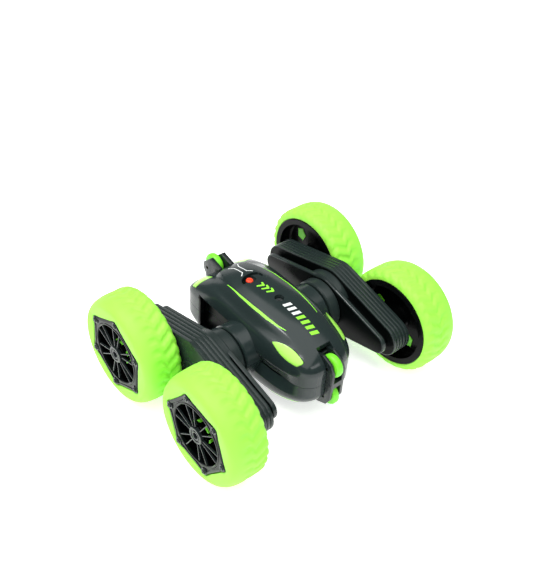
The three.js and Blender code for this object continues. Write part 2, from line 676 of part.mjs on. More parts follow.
  for (const [end, way, turn] of [["front", -1, frontWheelTurn], ["rear", 1, rearWheelTurn]]) {
    const wheel = new THREE.Group();
    wheel.position.set(wheelMiddle, way * axleY, 0);
    half.add(wheel);
    const addWheel = (body, name, material) => {
      const mesh = meshOf(body, `${name}_${end}_${side}`, material);
      wheel.add(mesh);
      return mesh;
    };
    const turnRadians = THREE.MathUtils.degToRad(turn);
    const edge = tyreRadius - shoulder;
    const tyre = cut(
      turned([
        [barrelRadius + fit, flangeSeat - halfWidth], [barrelRadius + fit, halfWidth - sidewallDepth],
        [sidewallBore, halfWidth - sidewallDepth], [sidewallBore, halfWidth], [edge, halfWidth],
        [tyreRadius, halfWidth - shoulder], [tyreRadius, shoulder - halfWidth], [edge, -halfWidth],
        [flangeRadius + fit, -halfWidth], [flangeRadius + fit, flangeSeat - halfWidth],
      ], tyreFacets),
      slab(plateOutline(fit), plateInner - fit, halfWidth + through).rotate([turn, 0, 0]),
    );
    addWheel(tyre, "tyre", limeRubber);

    const rimHubOuter = plateInner - fit;
    const [webInner, webOuter] = [rimInner + rimWebInset, rimInner + rimWebInset + rimWebWidth];
    const barrelInside = barrelRadius - barrelWall;
    const rim = turned([
      [shaftBore, rimInner], [rimHubRadius, rimInner], [rimHubRadius, webInner], [barrelInside, webInner],
      [barrelInside, rimInner], [flangeRadius, rimInner], [flangeRadius, rimInner + flangeWidth],
      [barrelRadius, rimInner + flangeWidth], [barrelRadius, rimOuter], [barrelInside, rimOuter],
      [barrelInside, webOuter], [rimHubRadius, webOuter],
      [rimHubRadius, rimHubOuter], [shaftBore, rimHubOuter],
    ], tyreFacets);
    addWheel(rim, "rim", blackPlastic);

    const windows = Array.from({ length: platePoints }, (_, i) => {
      const middle = ((i + 0.5) * 2 * Math.PI) / platePoints;
      const corner = (radius, share) => {
        const free = Math.PI / platePoints - Math.asin(spokeWidth / 2 / radius);
        return [radius * Math.cos(middle + share * free), radius * Math.sin(middle + share * free)];
      };
      const outline = [
        corner(plateHub, -1), corner(plateRingInner, -1), corner(plateRingInner, 1), corner(plateHub, 1),
      ];
      return slab(shapeOf(outline), plateInner - through, halfWidth + through);
    });
    const heads = plateCircles(0).map(([y, z]) =>
      rod(boltHead, halfWidth - through, halfWidth + boltHeight, y, z, 6));
    const plate = cut(
      join(slab(plateOutline(0), plateInner, halfWidth), ...heads),
      ...windows,
      rod(plateHubHole, plateInner - through, halfWidth + through),
    );
    addWheel(plate, "face_plate", blackPlastic).rotation.x = turnRadians;

    const axleStart = frameOuter - axleSeat - wheelMiddle;
    addWheel(rod(axleRadius, axleStart, rimHubOuter), "axle", steel);
  }
}

export default car;
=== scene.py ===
"""A double-sided radio-controlled stunt car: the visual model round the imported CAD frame.

Lengths are in millimetres, and heights are measured from the arm pivot. piece() turns them into metres.
"""
import json
import math

import bmesh
import bpy
import numpy as np
from mathutils import Matrix, Vector
from mathutils.bvhtree import BVHTree

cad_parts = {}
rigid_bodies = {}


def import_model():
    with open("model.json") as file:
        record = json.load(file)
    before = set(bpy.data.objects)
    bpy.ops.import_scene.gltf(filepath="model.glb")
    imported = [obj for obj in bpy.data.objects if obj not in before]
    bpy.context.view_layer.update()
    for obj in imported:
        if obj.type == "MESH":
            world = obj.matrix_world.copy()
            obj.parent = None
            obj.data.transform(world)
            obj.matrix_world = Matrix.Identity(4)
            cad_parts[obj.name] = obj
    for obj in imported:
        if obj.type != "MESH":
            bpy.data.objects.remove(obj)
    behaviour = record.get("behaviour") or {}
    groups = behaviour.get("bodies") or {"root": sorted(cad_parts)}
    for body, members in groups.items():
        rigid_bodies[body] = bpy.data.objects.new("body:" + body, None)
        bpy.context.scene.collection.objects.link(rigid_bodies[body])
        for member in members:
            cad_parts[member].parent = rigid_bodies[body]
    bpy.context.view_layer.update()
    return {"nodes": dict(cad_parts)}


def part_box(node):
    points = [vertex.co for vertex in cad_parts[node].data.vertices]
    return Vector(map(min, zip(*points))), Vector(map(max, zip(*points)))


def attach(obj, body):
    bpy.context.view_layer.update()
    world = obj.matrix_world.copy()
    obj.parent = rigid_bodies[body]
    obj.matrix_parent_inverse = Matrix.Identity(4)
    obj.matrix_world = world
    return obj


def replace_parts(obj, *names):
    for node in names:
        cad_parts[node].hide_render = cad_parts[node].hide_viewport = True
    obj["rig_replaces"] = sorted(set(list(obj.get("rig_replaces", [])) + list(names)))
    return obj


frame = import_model()

MM = 0.001
TAU = 2 * math.pi


def box_mm(node):
    """Lowest and highest corner of a CAD node, in millimetres from the floor."""
    low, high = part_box(node)
    return [v / MM for v in low], [v / MM for v in high]


# ---- Places taken from the frame ----
tyre_low, tyre_high = box_mm("tyre_rear_left")
TYRE_RADIUS = (tyre_high[2] - tyre_low[2]) / 2
TYRE_HALF = (tyre_high[0] - tyre_low[0]) / 2
WHEEL_X = (tyre_high[0] + tyre_low[0]) / 2
AXLE_Y = (tyre_high[1] + tyre_low[1]) / 2
PIVOT_Z = (tyre_high[2] + tyre_low[2]) / 2
cover_low, cover_high = box_mm("arm_cover_left")
COVER_IN, COVER_OUT = cover_low[0], cover_high[0]
ARM_APEX = cover_high[2] - PIVOT_Z
ARM_END = cover_high[1]
ARM_IN = box_mm("arm_frame_left")[0][0]
hub_high = box_mm("pivot_hub_left")[1]
HUB_RADIUS = hub_high[2] - PIVOT_Z
HUB_OUT = hub_high[0]
shell_high = box_mm("upper_shell")[1]
BOSS_FACE = shell_high[0]
CREST = shell_high[2] - PIVOT_Z
roller_front_low, roller_front_high = box_mm("roller_front_upper")
roller_rear_low, roller_rear_high = box_mm("roller_rear_upper")
knob_low, knob_high = box_mm("power_switch_knob")

SIDES = (("left", 1), ("right", -1))
ENDS = (("front", -1), ("rear", 1))
LEVELS = (("upper", 1), ("lower", -1))

# ---- Wheels: distances along the axle run from the wheel's middle, and outward is positive ----
LUGS = 30
LUG_DEPTH = 0.8
LUG_RISE = 0.25
LUG_WAVES = ((1.5, 12.5, 0), (0.45, 5.2, 1))
LUG_SHARPNESS = 3.4
LUG_SHARE = 0.25
BORE_RADIUS = 27.8
BORE_END = 8.4
BEAD_RADIUS = 21.6
PLATE_SEAT = 2.2
SEAT_GAP = 0.45
OUTER_SHOULDER = 3.6
FLAT_TREAD = (2.4, -8.4)
INNER_SHOULDER_DROP = 4.4
LIP_RADIUS = 29.9
LIP_WIDTH = 1.8
RIM_PROUD = 0.4
PLATE_POINTS = 6
PLATE_CIRCLE = 24.4
PLATE_LOBE = 2.6
PLATE_SCALLOP = 0.35
PLATE_OPENING = 19.2
RIM_WINDOWS = (0, 215)
PLATE_TURN = {"front": math.radians(10), "rear": math.radians(34)}
CORE_RADIUS = 7.4

# ---- Body ----
BODY_HALF = 26.5
NOSE_REACH = 55
TAIL_REACH = 58
WALL_TOP = 8
NOSE_SQUARE = 3.4
TAIL_SQUARE = 8
NOSE_SPINE = 0.45
TAIL_SPINE = 0.6
RIDGE_DROP = 0.0025
RIDGE_TOP = 3
NOSE_BULGE, WAIST_BULGE, DECK_BULGE = 3, 2.4, 6
WAIST_SPAN = (-10, 30)
TAIL_DROP = 0.0065
TAIL_TOP = 26
DECK_SPAN = (44, 48)
DECK_ARC = 0.028
DECK_SHOULDER = (9, 15)
DECK_LEAD = 26
DECK_DROP = 3.0
SHELL_WALL = 1.8
BOSS_RADIUS = 17.4
WAIST_DEPTH = 3.2
WAIST_END = 36
WAIST_FADE = (-52, -34)
RELIEF_START = (-42, -22)
RELIEF_END = (26, 40)
VALLEY_DEPTH, VALLEY_ASIDE, VALLEY_WIDTH = 0.7, 5.6, 2.0
HOOD_RISE = 1.0
HOOD_EDGE = (0.9, 4.6)
SPLIT_GAP = 0.15
LAMP_FLOOR = WALL_TOP - 3
CLEAR_ABOVE = 60
CLEAR_BEYOND = 90

# ---- Arms ----
APEX_RADIUS = 18
END_RADIUS = 11.2
RIB_GROOVE = 0.5
RIB_STARTS = (0, 2.6, 5.2, 8.0, 10.8)
FRAME_INSET = 4
FRAME_OUT = ARM_IN + 3
HUB_FACE = BOSS_FACE + 1.2

# Sockets of a Mix node that mixes colours.
MIX_FACTOR, MIX_FIRST, MIX_SECOND, MIX_RESULT = 0, 6, 7, 2


# ---------------------------------------------------------------- materials
def material(name, colour, roughness, *, metallic=0.0, bump=0.0, grain=900.0, tint=0.06, coat=0.0,
             rough_range=0.06, subsurface=0.0, specular=0.5):
    """A Principled surface with a little spread in roughness and colour, and fine grain in its height."""
    made = bpy.data.materials.new(name)
    made.use_nodes = True
    nodes, links = made.node_tree.nodes, made.node_tree.links
    shader = nodes["Principled BSDF"]
    shader.inputs["Metallic"].default_value = metallic
    shader.inputs["Coat Weight"].default_value = coat
    shader.inputs["Coat Roughness"].default_value = 0.08
    shader.inputs["Specular IOR Level"].default_value = specular
    if subsurface:
        shader.inputs["Subsurface Weight"].default_value = subsurface
        shader.inputs["Subsurface Radius"].default_value = (0.6, 1.0, 0.3)
        shader.inputs["Subsurface Scale"].default_value = 0.002
    coordinates = nodes.new("ShaderNodeTexCoord")

    cloud = nodes.new("ShaderNodeTexNoise")
    cloud.inputs["Scale"].default_value = 45
    cloud.inputs["Detail"].default_value = 4
    links.new(coordinates.outputs["Object"], cloud.inputs["Vector"])
    ramp = nodes.new("ShaderNodeMapRange")
    ramp.inputs["From Min"].default_value = 0.3
    ramp.inputs["From Max"].default_value = 0.7
    ramp.inputs["To Min"].default_value = max(0.02, roughness - rough_range)
    ramp.inputs["To Max"].default_value = roughness + rough_range
    links.new(cloud.outputs["Fac"], ramp.inputs["Value"])
    links.new(ramp.outputs["Result"], shader.inputs["Roughness"])

    mix = nodes.new("ShaderNodeMix")
    mix.data_type = "RGBA"
    mix.inputs[MIX_FIRST].default_value = (*[v * (1 - tint) for v in colour], 1)
    mix.inputs[MIX_SECOND].default_value = (*[min(1, v * (1 + tint)) for v in colour], 1)
    links.new(cloud.outputs["Fac"], mix.inputs[MIX_FACTOR])
    links.new(mix.outputs[MIX_RESULT], shader.inputs["Base Color"])

    if bump:
        fine = nodes.new("ShaderNodeTexNoise")
        fine.inputs["Scale"].default_value = grain
        fine.inputs["Detail"].default_value = 3
        links.new(coordinates.outputs["Object"], fine.inputs["Vector"])
        height = nodes.new("ShaderNodeBump")
        height.inputs["Strength"].default_value = bump
        height.inputs["Distance"].default_value = 0.0002
        links.new(fine.outputs["Fac"], height.inputs["Height"])
        links.new(height.outputs["Normal"], shader.inputs["Normal"])
    return made


LIME_RUBBER = material("lime_rubber", (0.36, 0.93, 0.075), 0.62, bump=0.25, grain=700, tint=0.04,
                       subsurface=0.15)
LIME_PLASTIC = material("lime_plastic", (0.20, 0.86, 0.03), 0.38, bump=0.08, tint=0.04)
LENS = material("lamp_lens", (0.42, 0.95, 0.12), 0.30, bump=0.15, grain=500, tint=0.05, coat=0.3)
SHELL_BLACK = material("shell_black", (0.016, 0.027, 0.026), 0.20, bump=0.03, specular=0.45)
ARM_BLACK = material("arm_black", (0.016, 0.026, 0.024), 0.28, bump=0.05, specular=0.4)
SPOKE_BLACK = material("spoke_black", (0.014, 0.020, 0.020), 0.2, bump=0.03, specular=0.5)
WHEEL_BLACK = material("wheel_black", (0.003, 0.0045, 0.0045), 0.16, bump=0.03, specular=0.16)
DISH_BLACK = material("dish_black", (0.0012, 0.0016, 0.0016), 0.22, bump=0.03, specular=0.1)
# Painted shade: a near-black copy of the black plastic, laid on the faces in the recesses of the arms and the
# body's sides, where shade falls.
PAINTED_SHADE_BLACK = material("painted_shade_black", (0.0016, 0.0024, 0.0023), 0.32, bump=0.04, specular=0.1)
BRACKET_BLACK = material("bracket_black", (0.009, 0.015, 0.0145), 0.28, bump=0.06)
WHITE_PRINT = material("white_print", (0.80, 0.84, 0.82), 0.4, bump=0.05, tint=0.03)
LIME_PRINT = material("lime_print", (0.30, 0.92, 0.04), 0.4, bump=0.05, tint=0.03)
RED_PLASTIC = material("red_plastic", (0.90, 0.06, 0.015), 0.36, bump=0.08)
STEEL = material("steel", (0.60, 0.61, 0.62), 0.28, metallic=1.0, bump=0.15, grain=1500)
SCREW_GREY = material("screw_grey", (0.10, 0.115, 0.115), 0.34, metallic=0.7, bump=0.1)
ACETAL = material("acetal", (0.80, 0.78, 0.72), 0.42, bump=0.08, subsurface=0.1)
WRAP = material("battery_wrap", (0.02, 0.09, 0.42), 0.3, bump=0.1, grain=300)
BOARD = material("circuit_board", (0.012, 0.12, 0.045), 0.45, bump=0.2, grain=400)


# ---------------------------------------------------------------- mesh helpers
def loft(sections, closed=False):
    """Faces between outlines of equal length. The ends are capped, or the last outline joins the first."""
    count = len(sections[0])
    verts = [tuple(float(v) for v in p) for section in sections for p in section]
    faces = []
    for k in range(len(sections) if closed else len(sections) - 1):
        a, b = k * count, ((k + 1) % len(sections)) * count
        for i in range(count):
            j = (i + 1) % count
            faces.append((a + i, a + j, b + j, b + i))
    if not closed:
        faces.append(tuple(reversed(range(count))))
        faces.append(tuple(range((len(sections) - 1) * count, len(sections) * count)))
    return verts, faces


def full_turn(steps):
    """Evenly spaced angles all the way round."""
    return [TAU * i / steps for i in range(steps)]


def merged(*parts):
    """Several parts of (vertices, faces) as one."""
    verts, faces = [], []
    for part_verts, part_faces in parts:
        start = len(verts)
        verts += part_verts
        faces += [tuple(i + start for i in face) for face in part_faces]
    return verts, faces


def moved(part, dx=0.0, dy=0.0, dz=0.0, sign=1, turn=0.0):
    """Turned about X, shifted, then mirrored to the right side where sign is -1."""
    c, s = math.cos(turn), math.sin(turn)
    verts = [(sign * (x + dx), y * c - z * s + dy, y * s + z * c + dz) for x, y, z in part[0]]
    return verts, part[1]


def lathe(profile, segments=64, closed=False):
    """A profile of (distance along X, radius) turned about X. An open one is capped with flat discs."""
    angles = full_turn(segments)
    return loft([[(x, r * math.cos(a), r * math.sin(a)) for a in angles] for x, r in profile], closed)


def post(profile, x=0.0, y=0.0, segments=48):
    """A profile of (height, radius) turned about Z, capped with flat discs."""
    angles = full_turn(segments)
    return loft([[(x + r * math.cos(a), y + r * math.sin(a), z) for a in angles] for z, r in profile])


def block(x, y, z):
    """A plain box between two values each of x, y and z."""
    ring = [(x[0], y[0]), (x[1], y[0]), (x[1], y[1]), (x[0], y[1])]
    return loft([[(u, v, h) for u, v in ring] for h in z])


def slab(outline, x0, x1):
    """An outline of (y, z) extruded along X."""
    return loft([[(x, y, z) for y, z in outline] for x in (x0, x1)])


def prism(outline, z0, z1):
    """An outline of (x, y) extruded along Z."""
    return loft([[(x, y, z) for x, y in outline] for z in (z0, z1)])


def belt(circles, grow):
    """The outline of a belt pulled tight round circles of (y, z, radius), at a distance from them."""
    steps = 96
    outline = []
    for i in range(steps):
        angle = (i + 0.5) * TAU / steps
        ny, nz = math.cos(angle), math.sin(angle)
        y, z, r = max(circles, key=lambda c: c[0] * ny + c[1] * nz + c[2])
        outline.append((y + (r + grow) * ny, z + (r + grow) * nz))
    return outline


def raw_object(name, part):
    """A linked object, still in millimetres, with its double points joined and its faces turned outward."""
    mesh = bpy.data.meshes.new(name)
    mesh.from_pydata(part[0], [], part[1])
    work = bmesh.new()
    work.from_mesh(mesh)
    bmesh.ops.remove_doubles(work, verts=work.verts, dist=1e-4)
    bmesh.ops.dissolve_degenerate(work, edges=work.edges, dist=1e-4)
    bmesh.ops.recalc_face_normals(work, faces=work.faces)
    work.to_mesh(mesh)
    work.free()
    obj = bpy.data.objects.new(name, mesh)
    bpy.context.collection.objects.link(obj)
    return obj


def apply_modifiers(obj):
    depsgraph = bpy.context.evaluated_depsgraph_get()
    made = bpy.data.meshes.new_from_object(obj.evaluated_get(depsgraph))
    obj.modifiers.clear()
    old = obj.data
    obj.data = made
    bpy.data.meshes.remove(old)


def carve(obj, tool_part, operation="DIFFERENCE"):
    """Cuts a part out of an object, or joins or intersects them."""
    tool = raw_object("tool", tool_part)
    change = obj.modifiers.new("carve", "BOOLEAN")
    change.operation = operation
    change.solver = "EXACT"
    change.object = tool
    apply_modifiers(obj)
    mesh = tool.data
    bpy.data.objects.remove(tool)
    bpy.data.meshes.remove(mesh)


def bevel(obj, width):
    change = obj.modifiers.new("bevel", "BEVEL")
    change.width = width
    change.segments = 2
    change.limit_method = "ANGLE"
    change.angle_limit = math.radians(40)
    change.harden_normals = False
    apply_modifiers(obj)


def piece(obj, body, nodes, surface, sharp=32):
    """Turns millimetres into metres, shades it, and hands it to its CAD body."""
    obj.data.transform(Matrix.Translation((0, 0, PIVOT_Z * MM)) @ Matrix.Diagonal((MM, MM, MM, 1)))
    obj.data.shade_smooth()
    obj.data.set_sharp_from_angle(angle=math.radians(sharp))
    obj.data.materials.clear()
    obj.data.materials.append(surface)
    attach(obj, body)
    if nodes:
        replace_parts(obj, *nodes)
    return obj


def shade(obj, surface, inside):
    """Paints shade: gives the second surface to the faces whose centre (in millimetres) and normal pass the
    test.
    """
    obj.data.materials.append(surface)
    for face in obj.data.polygons:
        centre = face.center / MM - Vector((0, 0, PIVOT_Z))
        if inside(centre, face.normal):
            face.material_index = 1


def smooth_step(low, high, value):
    """0 at low and beyond it, 1 at high and beyond it, and smooth between. Low may be the greater."""
    t = min(1, max(0, (value - low) / (high - low)))
    return t * t * (3 - 2 * t)


# ---------------------------------------------------------------- wheels
def plate_edge(angle):
    """Distance from the wheel's middle to the face plate's edge, in that direction of the plate."""
    half = math.pi / PLATE_POINTS
    off = abs((angle + half) % (2 * half) - half)
    tangent = math.atan2(PLATE_LOBE * math.sin(half), PLATE_CIRCLE + PLATE_LOBE * math.cos(half))
    if off < tangent:
        across = PLATE_CIRCLE * math.sin(off)
        return PLATE_CIRCLE * math.cos(off) + math.sqrt(PLATE_LOBE ** 2 - across ** 2)
    flat = (PLATE_CIRCLE * math.cos(half) + PLATE_LOBE) / math.cos(half - off)
    return flat - PLATE_SCALLOP * smooth_step(2.2 * tangent, 5.0 * tangent, off)


def tread(angle, along):
    """Depth below the tyre's plain radius, negative on the lugs. They are wavy bars that fade out outward."""
    wave = sum(swing * math.sin(along * TAU / length + phase) for swing, length, phase in LUG_WAVES)
    lug = 0.5 + 0.5 * math.tanh(LUG_SHARPNESS * (math.cos(LUGS * angle + wave) + LUG_SHARE))
    strength = 1 - smooth_step(0.5, 8, along)
    return LUG_DEPTH * strength * (1 - lug) - LUG_RISE * strength


def tyre_section(angle, turn):
    """Points of (along, radius) round the tyre's cut face in one direction of the wheel."""
    edge = plate_edge(angle - turn) + SEAT_GAP
    half, full = TYRE_HALF, TYRE_RADIUS
    points = [(BORE_END, BORE_RADIUS), (BORE_END, BEAD_RADIUS), (half - PLATE_SEAT, BEAD_RADIUS),
              (half - PLATE_SEAT, edge), (half - 0.35, edge), (half, edge + 0.45)]
    outer_steps, inner_steps = 10, 6
    outer_start = max(edge + 1.2, 30.0)
    for i in range(outer_steps + 1):
        t = i / outer_steps * math.pi / 2
        points.append((OUTER_SHOULDER + (half - OUTER_SHOULDER) * math.cos(t),
                       outer_start + (full - outer_start) * math.sin(t)))
    for along in np.linspace(*FLAT_TREAD, 14):
        points.append((float(along), full))
    flat_end = -FLAT_TREAD[1]
    for i in range(1, inner_steps + 1):
        t = i / inner_steps * math.pi / 2
        points.append((-flat_end - (half - flat_end) * math.sin(t),
                       full - INNER_SHOULDER_DROP * (1 - math.cos(t))))
    points += [(-half, LIP_RADIUS), (LIP_WIDTH - half, LIP_RADIUS), (LIP_WIDTH - half, BORE_RADIUS)]
    cut = []
    for along, radius in points:
        if radius > 30.05 and along > -half - 0.01:
            high = smooth_step(30, 33, radius)
            radius -= tread(angle, along) * high
        cut.append((along, radius))
    return cut


def cut_face(angle, profile):
    """A profile of (distance along X, radius), stood up in one direction of the wheel."""
    return [(x, r * math.cos(angle), r * math.sin(angle)) for x, r in profile]


def tyre_part(turn):
    return loft([cut_face(a, tyre_section(a, turn)) for a in full_turn(LUGS * 10)], closed=True)


def rim_part():
    """The dished rim, and the tube between its dish and the face plate."""
    half, inner = TYRE_HALF, -TYRE_HALF - RIM_PROUD
    rim = lathe([
        (inner, 2.4), (inner, 6.9), (inner + 0.6, 7.5), (inner + 8.6, 7.5), (inner + 9.4, 8.6),
        (inner + 9.4, 24.2), (inner + 8.4, 25.2), (inner + 0.7, 25.2), (inner, 25.6), (inner, 29.2),
        (inner + 0.3, 29.55), (inner + 1.5, 29.55), (inner + 1.5, 27.4), (half - 5.0, 27.4),
        (half - 5.0, 25.2), (inner + 13.2, 25.2), (inner + 12.0, 24.0), (inner + 11.4, 8.2),
        (inner + 12.4, 7.5), (half - 2.3, 7.5), (half - 2.3, 2.4),
    ], 96, closed=True)
    liner = lathe([(inner + 11.8, 20.8), (half - 2.1, 20.8), (half - 2.1, 21.4), (inner + 11.8, 21.4)], 96,
                  closed=True)
    return merged(rim, liner)


def rim_windows_part():
    """Lime patches on the inboard side of the dish, where the tyre's colour shows through."""
    start = -TYRE_HALF - RIM_PROUD + 8.9
    outline = [(12.8, -2.6), (17.4, -4.0), (21.4, 0.4), (18.8, 4.2), (13.6, 2.4)]
    patch = slab(outline, start, start + 0.8)
    return merged(*(moved(patch, turn=math.radians(angle)) for angle in RIM_WINDOWS))


def core_star(radius):
    """A six-lobed outline of (angle, radius)."""
    return [(a, radius * (1 + 0.12 * math.cos(PLATE_POINTS * a))) for a in full_turn(60)]


def core_part():
    """The lime core behind the spokes."""
    half = TYRE_HALF
    return loft([[(x, r * math.cos(a), r * math.sin(a)) for a, r in core_star(radius)]
                 for x, radius in ((half - 6.2, CORE_RADIUS), (half - 4.4, CORE_RADIUS),
                                   (half - 4.0, CORE_RADIUS - 0.4))])


def plate_part():
    """The six-sided face plate: a ring with a raised inner edge and a raised outer edge."""
    half = TYRE_HALF
    ring = []
    for a in full_turn(144):
        edge = plate_edge(a)
        ring.append(cut_face(a, [
            (half - 1.9, PLATE_OPENING), (half - 0.5, PLATE_OPENING), (half - 0.1, PLATE_OPENING + 0.5),
            (half - 0.1, PLATE_OPENING + 1.2), (half - 0.45, PLATE_OPENING + 1.5),
            (half - 0.45, edge - 2.3), (half, edge - 1.9), (half, edge - 1.2), (half - 0.7, edge),
            (half - 1.9, edge)]))
    return loft(ring, closed=True)


def spokes_part():
    """Six pairs of spokes round a hub, and the pad and head of a bolt at each point of the plate."""
    half = TYRE_HALF
    parts = []
    for i in range(PLATE_POINTS):
        direction = TAU * i / PLATE_POINTS
        pad = lathe([(half - 1.5, 2.45), (half + 0.05, 2.45), (half + 0.25, 2.2), (half + 0.25, 1.9)], 24)
        head = lathe([(half, 1.55), (half + 0.75, 1.55), (half + 1.0, 1.25), (half + 1.0, 0.6),
                      (half + 0.6, 0.5)], 6)
        for bolt in (pad, head):
            parts.append(moved(moved(bolt, dy=PLATE_CIRCLE), turn=direction))
        for away in (-1, 1):
            spoke = [(4.4, away * 0.9 - 0.22), (19.8, away * 3.6 - 0.28), (19.8, away * 3.6 + 0.28),
                     (4.4, away * 0.9 + 0.22)]
            bar = loft([[(x, y, z) for y, z in spoke] for x in (half - 1.9, half - 0.6)])
            parts.append(moved(bar, turn=direction))
    hub = lathe([(half - 1.9, 2.0), (half - 1.9, 5.5), (half - 0.1, 5.5), (half + 0.2, 5.2),
                 (half + 0.2, 4.1), (half - 0.3, 3.8), (half - 0.3, 3.2), (half + 0.1, 3.0),
                 (half + 0.1, 2.4), (half - 0.2, 2.0)], 40, closed=True)
    return merged(*parts, hub)


def make_wheel(end, way, side, sign):
    tag = f"{end}_{side}"
    plate_turn = PLATE_TURN[end]

    def fit(name, part, nodes, slot, surface, turn=plate_turn, sharp=32):
        """Puts a part made round the X axis in the wheel's place and on the wheel's body."""
        placed = moved(part, dx=WHEEL_X, dy=way * AXLE_Y, sign=sign, turn=turn)
        piece(raw_object(name, placed), f"wheel_{tag}", nodes, surface, sharp)

    fit(f"tyre_{tag}_skin", tyre_part(plate_turn), [f"tyre_{tag}"], "lime_tyre", LIME_RUBBER, 0.0, 50)
    fit(f"rim_{tag}_skin", rim_part(), [f"rim_{tag}"], "wheel_black", DISH_BLACK)
    fit(f"rim_windows_{tag}", rim_windows_part(), [], "lime_tyre", LIME_PLASTIC)
    fit(f"core_{tag}", core_part(), [], "lime_tyre", LIME_PLASTIC)
    fit(f"plate_{tag}", plate_part(), [f"face_plate_{tag}"], "wheel_black", WHEEL_BLACK)
    fit(f"spokes_{tag}", spokes_part(), [], "wheel_black", SPOKE_BLACK)


# ---------------------------------------------------------------- arms
ARM_CIRCLES = [(ARM_END - END_RADIUS, 0, END_RADIUS), (END_RADIUS - ARM_END, 0, END_RADIUS),
               (0, ARM_APEX - APEX_RADIUS, APEX_RADIUS), (0, APEX_RADIUS - ARM_APEX, APEX_RADIUS)]


def arm_loft(profile):
    """Outlines of the arm at (distance along X, inset), capped at both ends."""
    return loft([[(x, y, z) for y, z in belt(ARM_CIRCLES, -inset)] for x, inset in profile])


def arm_cover_part():
    """The ribbed outer cover, hollow toward the frame, with a raised ring over each axle and the pivot."""
    outer, inner = COVER_OUT, COVER_IN
    bands = []
    edges = [inner + start for start in RIB_STARTS] + [outer]
    for start, end in zip(edges, edges[1:]):
        bands += [(start + 0.1, RIB_GROOVE), (start + 0.3, 0.1), (start + 0.6, 0), (end - 0.6, 0),
                  (end - 0.3, 0.1), (end - 0.1, RIB_GROOVE)]
    bands[-2:] = [(outer - 0.3, 0.35), (outer, 1.1)]
    bands[0] = (inner, 0.6)
    hollow = [(outer - 2, 2), (inner + 1.9, 2), (inner + 1.6, 6.8), (inner, 6.8), (inner, 1.2)]
    cover = arm_loft(hollow + bands)
    rings = []
    for y in (-AXLE_Y, 0, AXLE_Y):
        radius = 6.2 if y else 8.5
        ring = lathe([(outer - 1, radius), (outer + 0.35, radius), (outer + 0.6, radius - 0.4),
                      (outer + 0.6, radius - 1.2), (outer - 1, radius - 1.4)], 48, closed=True)
        rings.append(moved(ring, dy=y))
    return merged(cover, *rings)


def arm_frame_part():
    """The inner frame: a plate with a spigot that enters the cover, and a collar round the pivot."""
    inset = FRAME_INSET
    plate = arm_loft([(ARM_IN, inset + 1.0), (ARM_IN + 0.25, inset + 0.3), (ARM_IN + 0.7, inset),
                      (FRAME_OUT - 0.6, inset), (FRAME_OUT - 0.15, inset + 0.3), (FRAME_OUT, inset + 0.9),
                      (FRAME_OUT, inset + 3), (COVER_IN + 3, inset + 3)])
    collar = lathe([(ARM_IN + 0.4, 19.6), (ARM_IN + 1.2, 20.6), (COVER_IN + 1, 20.9), (COVER_IN + 1, 15),
                    (ARM_IN + 0.4, 15)], 96, closed=True)
    return merged(plate, collar)


def pivot_hub_part():
    """The arm's hub: a narrow spigot that enters the body's drum, and the wide disc outside it."""
    return lathe([
        (BOSS_FACE - 4, 2.6), (BOSS_FACE - 4, 6.0), (HUB_FACE, 6.0), (HUB_FACE, 14.5),
        (HUB_FACE + 0.2, HUB_RADIUS - 0.9), (HUB_FACE + 0.9, HUB_RADIUS - 0.1), (HUB_FACE + 1.6, HUB_RADIUS),
        (HUB_OUT - 0.5, HUB_RADIUS), (HUB_OUT, HUB_RADIUS - 0.4), (HUB_OUT, 2.6),
    ], 96, closed=True)


def make_arm(side, sign):
    def fit(name, part):
        obj = raw_object(f"{name}_{side}_skin", moved(part, sign=sign))
        return piece(obj, f"arm_{side}", [f"{name}_{side}"], ARM_BLACK)

    # Painted shade: the cover's faces at its mouth that face the body, the frame plate's inboard face, and
    # the frame's faces from its outboard face on, but not the collar, get the near-black painted-shade
    # surface.
    def cover_painted_shade(centre, normal):
        return abs(centre.x) < COVER_IN + 0.1 and sign * normal.x < -0.9

    def frame_painted_shade(centre, normal):
        inboard = abs(centre.x) < ARM_IN + 0.1 and sign * normal.x < -0.9
        on_collar = abs(centre.y) < 20.9 and 15.5 < math.hypot(centre.y, centre.z) < 21
        return inboard or (abs(centre.x) > FRAME_OUT - 0.05 and not on_collar)

    shade(fit("arm_cover", arm_cover_part()), PAINTED_SHADE_BLACK, cover_painted_shade)
    shade(fit("arm_frame", arm_frame_part()), PAINTED_SHADE_BLACK, frame_painted_shade)
    fit("pivot_hub", pivot_hub_part())


# ---------------------------------------------------------------- body
def plan_point(angle, inset):
    """A point of the body's plan, a superellipse that is rounder at the nose than at the tail."""
    c, s = (0.0 if abs(v) < 1e-9 else v for v in (math.cos(angle), math.sin(angle)))
    square = NOSE_SQUARE if s < 0 else TAIL_SQUARE
    reach = (NOSE_REACH if s < 0 else TAIL_REACH) - inset
    x = (BODY_HALF - inset) * math.copysign(abs(c) ** (2 / square), c)
    y = reach * math.copysign(abs(s) ** (2 / square), s)
    return x, y


def stripe_x(y):
    """About half the distance between the printed stripes."""
    return 15.9 - 0.0027 * y * y + 0.02 * y


def relief(x, y):
    """Height of the moulded detail above the plain dome: a valley outside each stripe, and a raised hood."""
    start = smooth_step(*RELIEF_START, y)
    ends = start * (1 - smooth_step(*RELIEF_END, y))
    stripe = stripe_x(y)
    valley = -VALLEY_DEPTH * math.exp(-((abs(x) - stripe - VALLEY_ASIDE) / VALLEY_WIDTH) ** 2) * ends
    hood = HOOD_RISE * (1 - smooth_step(stripe + HOOD_EDGE[0], stripe + HOOD_EDGE[1], abs(x))) * start
    return valley + hood * (1 - deck_share(x, y))


def deck_share(x, y):
    """0 on the hood and 1 on the rear deck. The shoulders blend from one to the other."""
    lead = DECK_LEAD * smooth_step(*DECK_SHOULDER, abs(x))
    return smooth_step(DECK_SPAN[0] - lead, DECK_SPAN[1], y + DECK_ARC * x * x)


